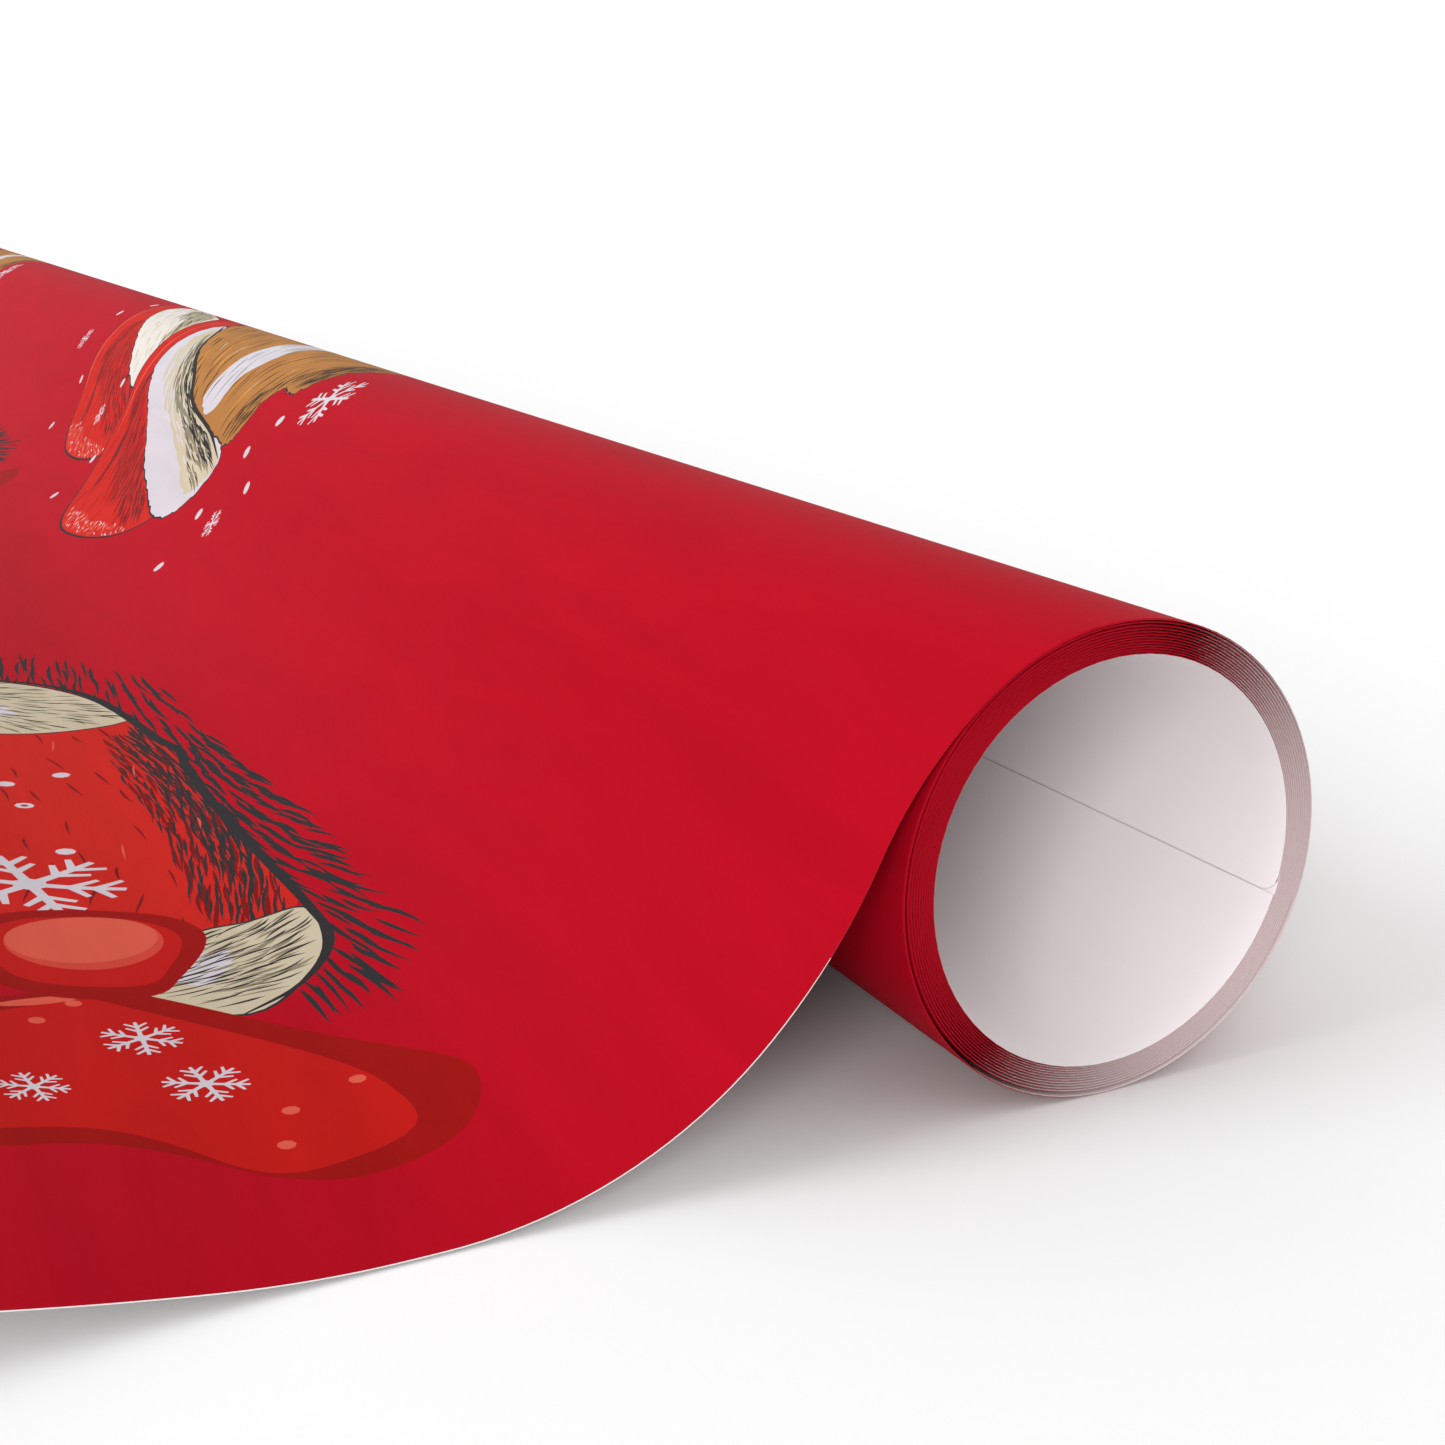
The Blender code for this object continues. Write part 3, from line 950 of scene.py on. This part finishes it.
def paper_piece(name, v_from, v_to, place, thinned, shapes=(), corner=0.0):
    """A closed thin sheet: printed outside, plain inside and cut edges round it, bent as place says."""
    here, cuts = shapes_between(shapes, v_from, v_to), straight_cuts(v_from, v_to, thinned)
    outline = outline_of(v_from, v_to, corner)
    inked = [(on_sides(shape, outline, SIDE_REACH), True) for _, shape in here]
    flat, triangles = cut_flat(outline, [(outline, True)] + cuts + inked)
    rim = rim_of(triangles)
    back_flat, back_triangles = cut_flat(outline, [(flat[ends], False) for ends in rim] + cuts)
    back_triangles = back_triangles[:, ::-1]
    count, under = len(flat), nearest_points(back_flat, flat, np.unique(rim))

    front, front_outward = surface_points(flat, front_offset(flat, thinned), place)
    back, back_outward = surface_points(back_flat, np.full(len(back_flat), -PAPER_THICKNESS / 2.0), place)
    points = np.vstack([front, back])
    walls = np.array([(b, a, under[a] + count, under[b] + count) for a, b in rim])
    faces = triangles.tolist() + (back_triangles + count).tolist() + walls.tolist()
    mesh = bpy.data.meshes.new(name)
    mesh.from_pydata((points * MM).tolist(), [], faces)

    at_rim = flat[rim].mean(1)
    # The cut edges of thinned ends at the roll's ends take the dark red, which is painted shade for the gaps
    # between turns; the other cut edges keep the pale paper colour.
    painted_shade_rim = (from_end(at_rim) < EDGE_TAPER) & (thinned(at_rim[:, 1]) > 0.5)
    front_slots = ink_of(flat[triangles].mean(1), here)
    back_slots = np.full(len(back_triangles), len(ink_materials))
    slots = np.concatenate([front_slots, back_slots, len(ink_materials) + 1 + painted_shade_rim])
    outer = front_directions(flat, triangles, front_outward, thinned)
    inner = -np.column_stack([np.zeros(len(back_flat)), back_outward])[back_triangles]
    wall = np.cross(points[walls[:, 1]] - points[walls[:, 0]], points[walls[:, 2]] - points[walls[:, 1]])
    wall /= np.linalg.norm(wall, axis=1)[:, None]
    normals = np.vstack([outer.reshape(-1, 3), inner.reshape(-1, 3), np.repeat(wall, 4, axis=0)])
    finish_mesh(mesh, slots, np.vstack([flat, back_flat]), normals)
    piece = bpy.data.objects.new(name, mesh)
    bpy.context.scene.collection.objects.link(piece)
    return piece


# ------------------------------------------------------------------ the roll and its leaf

all_shapes = print_shapes()


def wound_turns():
    """The twelve turns. Only the outermost has its print, and the innermost shows its cut end in the bore."""
    for node, radius in zip(turn_nodes, turn_radii):
        innermost, outermost = node == turn_nodes[0], node == turn_nodes[-1]
        body = "outer_wrap" if outermost else node.replace("turn", "coil")
        shapes = all_shapes if outermost else ()
        gap, corner, rise, ramp = 0.0, 0.0, 0.0, OUTER_RAMP
        if innermost:
            gap, corner, rise, ramp = SEAM_GAP, CORNER_RADIUS, SEAM_STEP, SEAM_RAMP
        elif outermost:
            rise = LEAF_RADIUS - radius
        length, place = 2.0 * math.pi * radius, place_on_turn(radius, rise, ramp)
        piece = paper_piece(f"wound_{node}", gap - length, 0.0, place, thinned_all_round, shapes, corner)
        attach(piece, body)
        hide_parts(node)


def along_path(v):
    """A point of the leaf's middle surface in metres, at the middle of the roll's length."""
    point = place_on_leaf(np.array([v]))[0][0] * MM
    return (0.0, float(point[0]), float(point[1]))


def leaf_hinges():
    """Distances from the seam to the leaf's three hinges and to its free edge."""
    lengths = [stretch[0] for stretch in leaf_stretches()]
    lift = sum(lengths[:2])
    flex = sum(lengths[:3]) + lengths[3] * (1.0 - FLEX_HINGE_SLOPE / SLOPE_WHERE_FOOT_STARTS)
    curl = sum(lengths[:5]) + lengths[5] * CURL_HINGE_SLOPE / SLOPE_WHERE_LIP_EASES
    return lift, flex, curl, sum(lengths)


def leaf_pieces():
    """The leaf in three pieces, cut halfway between its hinges."""
    lift, flex, curl, free_edge = leaf_hinges()
    cuts = [0.0, (lift + flex) / 2.0, (flex + curl) / 2.0, free_edge]
    bends = [(lift, LIFT_REACH), (flex, FLEX_REACH), (curl, CURL_REACH)]
    names = ["leaf_over_roll", "leaf_over_drop", "leaf_over_table"]
    nodes = [("leaf_crown",), ("leaf_drop",), ("leaf_foot", "leaf_lip")]
    ends = [thinned_on_the_roll, thinned_on_the_roll, square_cut]
    for i, (hinge, (before, after)) in enumerate(bends):
        piece = paper_piece(names[i], cuts[i], cuts[i + 1], place_on_leaf, ends[i], all_shapes)
        along_path(hinge - before)
        along_path(hinge + after)
        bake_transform(piece)
        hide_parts(*nodes[i])


wound_turns()
leaf_pieces()


# ------------------------------------------------------------------ floor, light and camera


def floor():
    """A plain pale table under the roll's lowest point, far wider than the view."""
    mesh = bpy.data.meshes.new("table")
    reach, height = TABLE_REACH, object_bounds()[0].z
    corners = [(-reach, -reach), (reach, -reach), (reach, reach), (-reach, reach)]
    mesh.from_pydata([(x, y, height) for x, y in corners], [], [(0, 1, 2, 3)])
    table = bpy.data.objects.new("table", mesh)
    material = bpy.data.materials.new("table_white")
    material.use_nodes = True
    shader = material.node_tree.nodes["Principled BSDF"]
    shader.inputs["Base Color"].default_value = (TABLE_WHITE, TABLE_WHITE, TABLE_WHITE, 1.0)
    shader.inputs["Roughness"].default_value = 0.9
    shader.inputs["Specular IOR Level"].default_value = 0.0
    mesh.materials.append(material)
    bpy.context.scene.collection.objects.link(table)


def far_softbox(name, azimuth, elevation, width, strength):
    """A large soft light far away. The azimuth, from +X towards +Y, elevation and width are in degrees."""
    light = bpy.data.lights.new(name, "SUN")
    light.energy = strength
    light.angle = math.radians(width)
    lamp = bpy.data.objects.new(name, light)
    level = math.cos(math.radians(elevation))
    across, along = level * math.cos(math.radians(azimuth)), level * math.sin(math.radians(azimuth))
    towards = Vector((across, along, math.sin(math.radians(elevation))))
    lamp.rotation_euler = towards.to_track_quat("Z", "Y").to_euler()
    bpy.context.scene.collection.objects.link(lamp)


def sky(strength):
    """Even white light from all round."""
    world = bpy.data.worlds.new("studio")
    world.use_nodes = True
    background = world.node_tree.nodes["Background"]
    background.inputs["Color"].default_value = (1.0, 1.0, 1.0, 1.0)
    background.inputs["Strength"].default_value = strength
    bpy.context.scene.world = world


def camera():
    """The view along the roll from its near end, from slightly above."""
    lens = bpy.data.cameras.new("camera")
    lens.lens = CAMERA_LENS
    lens.sensor_width = 36.0
    lens.clip_start = 0.005
    viewer = bpy.data.objects.new("camera", lens)
    near_end = Vector((HALF_WIDTH, *roll_axis)) * MM
    viewer.location = near_end + Vector(CAMERA_OFFSET) * LEAF_RADIUS * MM
    viewer.rotation_euler = (math.radians(90.0 - CAMERA_PITCH), 0.0, math.radians(90.0 - CAMERA_YAW))
    bpy.context.scene.collection.objects.link(viewer)
    bpy.context.scene.camera = viewer


floor()
sky(1.0)
far_softbox("key", azimuth=-99.0, elevation=30.0, width=30.0, strength=1.55)
far_softbox("fill", azimuth=-40.0, elevation=20.0, width=24.0, strength=1.5)
camera()
bpy.context.scene.view_settings.view_transform = "Standard"
